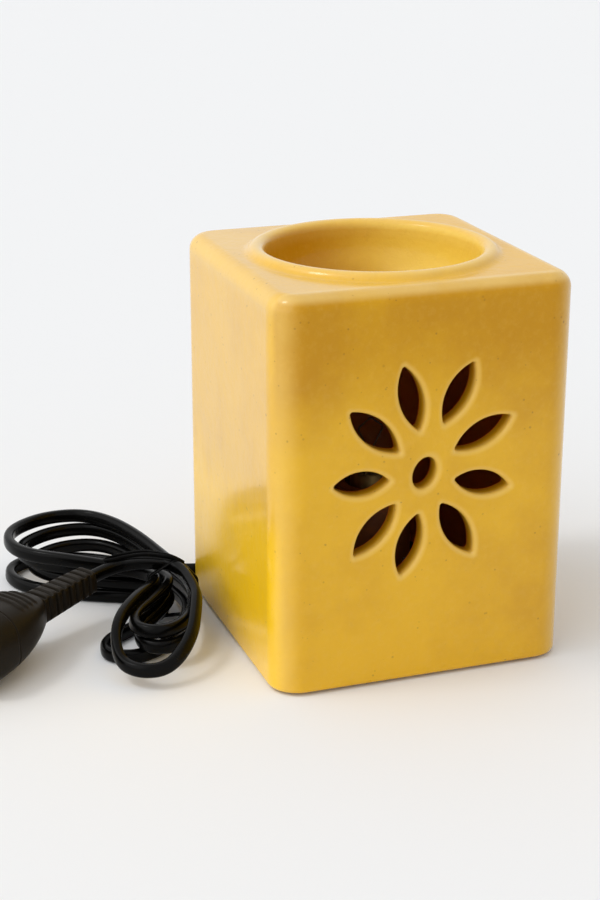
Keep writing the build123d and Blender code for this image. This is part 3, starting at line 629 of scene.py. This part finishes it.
def moulded_black(name, roughness, colour=DEEP_BLACK, shine=0.045):
    """Black PVC or moulded plastic: a faint grain, and a gloss that varies with wear."""
    black = Finish(name, base_color=colour, specular_ior_level=shine)
    at = black.place()
    grain = black.noise(at, 900.0, 2.0, 0.6)
    wear = black.noise(at, 60.0, 3.0, 0.5)
    black.give(roughness=wear.ramp(0.3, 0.7, roughness - 0.06, roughness + 0.08))
    black.bump(grain, 0.00008, 0.2)
    return black


def plain_metal(name, colour, roughness):
    """Metal with fine drawn lines, and smudges that darken it and change its gloss."""
    metal = Finish(name, metallic=1.0)
    lines = metal.noise(metal.place((40.0, 40.0, 900.0)), 6.0, 2.0, 0.5)
    smudge = metal.noise(metal.place(), 220.0, 3.0, 0.55)
    dark = tuple(0.72 * c for c in colour)
    metal.give(base_color=metal.mix(smudge.ramp(0.35, 0.7), dark, colour))
    metal.give(roughness=smudge.ramp(0.3, 0.7, roughness - 0.07, roughness + 0.1))
    metal.bump(lines, 0.00004, 0.3)
    return metal


def soft_tint(name, colour, roughness, grain_scale=500.0):
    """Coloured rubber, porcelain or solder: mottled a little in colour and gloss."""
    tint = Finish(name)
    mottle = tint.noise(tint.place(), grain_scale, 3.0, 0.55)
    dark = tuple(0.78 * c for c in colour)
    tint.give(base_color=tint.mix(mottle.ramp(0.3, 0.7), dark, colour))
    tint.give(roughness=mottle.ramp(0.3, 0.7, roughness - 0.05, roughness + 0.08))
    tint.bump(mottle, 0.00006, 0.25)
    return tint


def lamp_glass_finish():
    """Clear glass above the cap's rim; below it the cement in the neck shows."""
    glass = Finish("lamp_glass_clear", ior=1.4)
    at = glass.place((TO_MM, TO_MM, TO_MM))
    z = glass.add("ShaderNodeSeparateXYZ", {}, {"Vector": at}, "Z")
    cement = z.ramp(CAP_RIM + 0.6, CAP_RIM)
    smear = glass.noise(at, 0.09, 2.0, 0.5)
    glass.give(base_color=glass.mix(cement, CLEAR_GLASS, CAP_CEMENT))
    glass.give(roughness=smear.ramp(0.3, 0.7, 0.03, 0.1) + cement * 0.5)
    glass.give(alpha=smear.ramp(0.3, 0.7, 0.03, 0.06) | cement)
    return glass


# Cord
def spine(u):
    """Plan line of the hank and its direction: straight along each lobe, a soft bend at the waist."""
    left = np.array([math.cos(LEFT_HEADING), math.sin(LEFT_HEADING)])
    front = np.array([math.cos(FRONT_HEADING), math.sin(FRONT_HEADING)])
    u = u[:, None]
    k = np.clip((u + WAIST_BEND) / (2 * WAIST_BEND), 0, 1)
    bend = WAIST + WAIST_BEND * ((1 - k) ** 2 * front + k * k * left)
    line = bend + np.maximum(u - WAIST_BEND, 0) * left + np.maximum(-u - WAIST_BEND, 0) * front
    return line, length_one(k * left - (1 - k) * front)


def hank_points(angle):
    """Four crossed loops: along the spine by cosine, across it by sine, one layer higher each turn.

    The last turn's near side is rolled down beside the others at the waist, and its front end dips.
    """
    c = np.cos(np.radians(angle))
    s = np.sin(np.radians(angle))
    turn = np.clip(np.floor((90 - angle) / 360).astype(int), 0, LAST_TURN)
    on_left = c > 0
    near_side = s < 0
    rolled = near_side & (turn == LAST_TURN)
    left, front = LEFT_LOOPS[turn].T, FRONT_LOOPS[turn].T
    reach = np.where(on_left, left[0], front[0])
    spread = np.where(on_left, np.where(near_side, left[1], left[2]), front[1])
    half = np.where(rolled, ROLLED_HALF, WAIST_HALF)
    u = c * reach
    fanning = np.where(on_left, LEFT_FANNING, FRONT_FANNING)
    v = s * (half + (spread - half) * (1 - (1 - c * c) ** fanning))
    v -= np.where(on_left, 0, front[2] * smooth(-c))
    climbing = on_left & ~near_side & (turn > 0)
    layer = turn - np.where(climbing, 1 - smooth((u - CLIMB_START) / CLIMB_RUN), 0)
    z = CORD_FLOOR + CORD_LAYER * layer + TIE_LIFT * (1 - smooth(np.abs(u - TIE_AT) / TIE_LIFT_RUN))
    z -= np.where(rolled, ROLLED_DROP * (1 - smooth(np.abs(u) / ROLLED_RUN)), 0)
    dipping = (turn == LAST_TURN) & ~on_left
    z -= np.where(dipping, LAST_DIP * smooth((-c - DIP_FROM) / (1 - DIP_FROM)), 0)
    line, run = spine(u)
    return np.column_stack([line[:, 0] + v * run[:, 1], line[:, 1] - v * run[:, 0], z])


def hank_heading(angle):
    """Direction of the hank's line at an angle: the step from just before it to just after it."""
    before, after = hank_points(np.array([angle + HANK_NEARBY, angle - HANK_NEARBY]))
    return length_one(after - before)


def make_cord(black):
    """The whole cord on one NURBS line: a flat twin section that stands on edge and leans a little."""
    hank = hank_points(np.linspace(HANK_START, HANK_END, HANK_STEPS + 1))
    before = hank[0] - LEAD_RUN * hank_heading(HANK_START)
    before[2] = CORD_FLOOR
    after = hank[-1] + TAIL_RUN * hank_heading(HANK_END) + TAIL_RISE * UPWARDS
    tail = [after, *TAIL_POINTS, RELIEF_START - RELIEF_RUN * PLUG_AXIS, RELIEF_START]
    route = np.vstack([LEAD_POINTS, before, hank, tail]) * MM
    line = nurbs_line("cord_route", route, CORD_FINENESS)
    travelled = np.r_[0, np.cumsum(np.linalg.norm(np.diff(line, axis=0), axis=1))]
    lean = LEAN * np.sin(travelled / LEAN_WAVE) * np.sin(travelled / LEAN_DRIFT + 1.0)
    side = np.cross(length_one(np.gradient(line, axis=0)), UPWARDS)
    wide = UPWARDS * np.cos(lean)[:, None] + side * np.sin(lean)[:, None]
    section = rounded_section(CORD_WIDE, CORD_THIN, CORD_SQUARENESS, CORD_AROUND)
    points, faces = tube_mesh(carry(section, line, wide))
    cord = mesh_piece("cord", points, faces, black, "lamp_base")
    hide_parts("cord_lead", "cord_hank", "cord_tail")


# Tie and plug
def make_tie(finish):
    """A twist tie: a ring that keeps an even distance round the strands, and a long loop of its ends.

    The ring's point at each direction is the outermost strand in that direction plus the distance.
    """
    angle = np.linspace(0, 2 * np.pi, TIE_RING_STEPS)
    way = np.stack([np.cos(angle), np.sin(angle)], axis=-1)
    outermost = TIE_STRANDS[np.argmax(way @ TIE_STRANDS.T, axis=1)]
    across, up = (outermost + TIE_OFF * way).T
    (middle,), (run,) = spine(np.array([TIE_AT]))
    ring = np.column_stack([middle[0] + across * run[1], middle[1] - across * run[0], up]) * MM
    band = rounded_section(*TIE_BAND, TIE_AROUND)
    loop = nurbs_line("tie_route", np.array(TIE_LOOP) * MM, TIE_FINENESS)
    wire = rounded_section(*TIE_WIRE, TIE_AROUND)
    points, faces = joined([carry(band, ring, np.append(run, 0.0)), carry(wire, loop, UPWARDS)])
    tie = mesh_piece("twist_tie", points, faces, finish, "lamp_base")
    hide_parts("cord_tie")
    return tie


def plug_sections(sizes, squareness, around):
    """Superellipses of the given widths and heights, and each point's place on a unit one."""
    unit = rounded_section(2.0, 2.0, squareness, around)
    return unit[None] * sizes[:, None] / 2, unit


def make_relief(finish):
    """Bend relief: a tapering rounded bar, slotted by turns on its flat faces and on its sides.

    The cut at a place along it is a plateau wave; the two pairs of faces are half a step apart.
    """
    along = np.linspace(0, RELIEF_LENGTH, RELIEF_STEPS)
    share = (along / RELIEF_LENGTH)[:, None]
    sizes = RELIEF_START_SIZE + share * (RELIEF_END_SIZE - RELIEF_START_SIZE)
    sections, unit = plug_sections(sizes, RELIEF_SQUARENESS, RELIEF_AROUND)
    wave = np.stack([np.cos(2 * np.pi * (RIB_COUNT * share + half)) for half in (0.0, 0.5)], axis=-1)
    slot = smooth((wave - SLOT_FROM) / SLOT_FADE) * smooth(along / RELIEF_COLLAR)[:, None, None]
    slot *= smooth((RELIEF_LENGTH - along) / RELIEF_ROOT)[:, None, None]
    face = smooth((SLOT_REACH - np.abs(unit[:, ::-1])) / SLOT_REACH_FADE)
    face *= smooth((np.abs(unit) - SLOT_SURFACE) / SLOT_SURFACE_FADE)
    sections = sections - np.sign(unit) * RIB_DEPTH * slot * face
    path = RELIEF_START + along[:, None] * PLUG_AXIS
    points, faces = tube_mesh(carry(sections * MM, path * MM, PLUG_ACROSS))
    relief = mesh_piece("plug_bend_relief", points, faces, finish, "lamp_base")
    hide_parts("plug_relief")
    return relief


def make_plug(finish):
    """Moulded plug: a superellipse that swells from neck to pin face, with grip ridges and a seam.

    Its size grows with 1 - (1 - t)^growth, and the edge round the pin face is a quarter circle.
    The seam is a narrow bell-shaped groove, and the ridges are a plateau wave on the two flat faces.
    """
    edge_start = PLUG_LENGTH - PLUG_EDGE
    rounding = PLUG_LENGTH - PLUG_EDGE * np.cos(PLUG_EDGE_ANGLES)
    along = np.r_[np.linspace(0, edge_start, PLUG_STEPS), rounding]
    share = (along / PLUG_LENGTH)[:, None]
    sizes = PLUG_NECK_SIZE + (PLUG_END_SIZE - PLUG_NECK_SIZE) * (1 - (1 - share) ** PLUG_GROWTH)
    edge = np.clip((along - edge_start) / PLUG_EDGE, 0, 1)
    sizes = sizes - 2 * PLUG_EDGE * (1 - np.sqrt(1 - edge ** 2))[:, None]
    sizes = sizes - 2 * SEAM_DEPTH * np.exp(-((along - SEAM_AT) / SEAM_WIDTH) ** 2)[:, None]
    sections, unit = plug_sections(sizes, PLUG_SQUARENESS, PLUG_AROUND)
    ridge = smooth((np.cos(2 * np.pi * (along - GRIP_FROM) / GRIP_STEP) - RIDGE_FROM) / RIDGE_FADE)
    ridge *= smooth((along - GRIP_FROM + GRIP_LEAD) / GRIP_FADE)
    ridge *= smooth((GRIP_TO - along) / GRIP_FADE)
    flat = smooth((RIDGE_REACH - np.abs(unit[:, 0])) / RIDGE_REACH_FADE) * np.sign(unit[:, 1])
    sections[..., 1] += GRIP_RISE * ridge[:, None] * flat
    path = RELIEF_START + (RELIEF_LENGTH + along)[:, None] * PLUG_AXIS
    points, faces = tube_mesh(carry(sections * MM, path * MM, PLUG_ACROSS))
    plug = mesh_piece("plug_moulding", points, faces, finish, "lamp_base")
    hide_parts("plug_body")
    return plug


make_camera()
make_stage()
pvc = moulded_black("black_pvc", 0.2, shine=0.1)
plug_pvc = moulded_black("plug_pvc", 0.38, PLUG_BLACK, 0.065)
tie_plastic = moulded_black("tie_plastic", 0.3)
tie_piece = make_tie(tie_plastic)
relief_piece = make_relief(plug_pvc)
plug_piece = make_plug(plug_pvc)
make_cord(pvc)

# Finish of each material slot in the record
FINISHES = {
    "amber_glaze": amber_glaze(),
    "clear_pad": soft_tint("clear_pad", (0.6, 0.58, 0.52), 0.5),
    "black_plastic": moulded_black("black_plastic", 0.42),
    # The holder's dark red-brown carries painted light: the amber glow that the glaze throws on it inside
    # the body
    "holder_plastic": soft_tint("holder_plastic", (0.42, 0.14, 0.035), 0.5, 260.0),
    "black_rubber": moulded_black("black_rubber", 0.62),
    "black_pvc": pvc,
    "tie_plastic": tie_plastic,
    "zinc_steel": plain_metal("zinc_steel", (0.62, 0.62, 0.63), 0.34),
    "spring_steel": plain_metal("spring_steel", (0.5, 0.5, 0.52), 0.28),
    "white_porcelain": soft_tint("white_porcelain", (0.8, 0.79, 0.75), 0.3, 300.0),
    "brass": plain_metal("brass", (0.72, 0.5, 0.2), 0.3),
    "brown_core": soft_tint("brown_core", (0.14, 0.05, 0.02), 0.4),
    "blue_core": soft_tint("blue_core", (0.02, 0.07, 0.3), 0.4),
    "clear_glass": lamp_glass_finish(),
    "black_glass": moulded_black("black_glass", 0.16),
    "nickel": plain_metal("nickel", (0.55, 0.38, 0.14), 0.5),
    "solder": soft_tint("solder", (0.5, 0.5, 0.5), 0.4, 900.0),
    "tungsten": plain_metal("tungsten", (0.24, 0.13, 0.06), 0.6),
}
for subpart in frame["record"]["subparts"]:
    slots = nodes[subpart["node"]].data.materials
    slots.clear()
    slots.append(FINISHES[subpart["material_slot"]].material)

bpy.context.scene.view_settings.view_transform = "Standard"
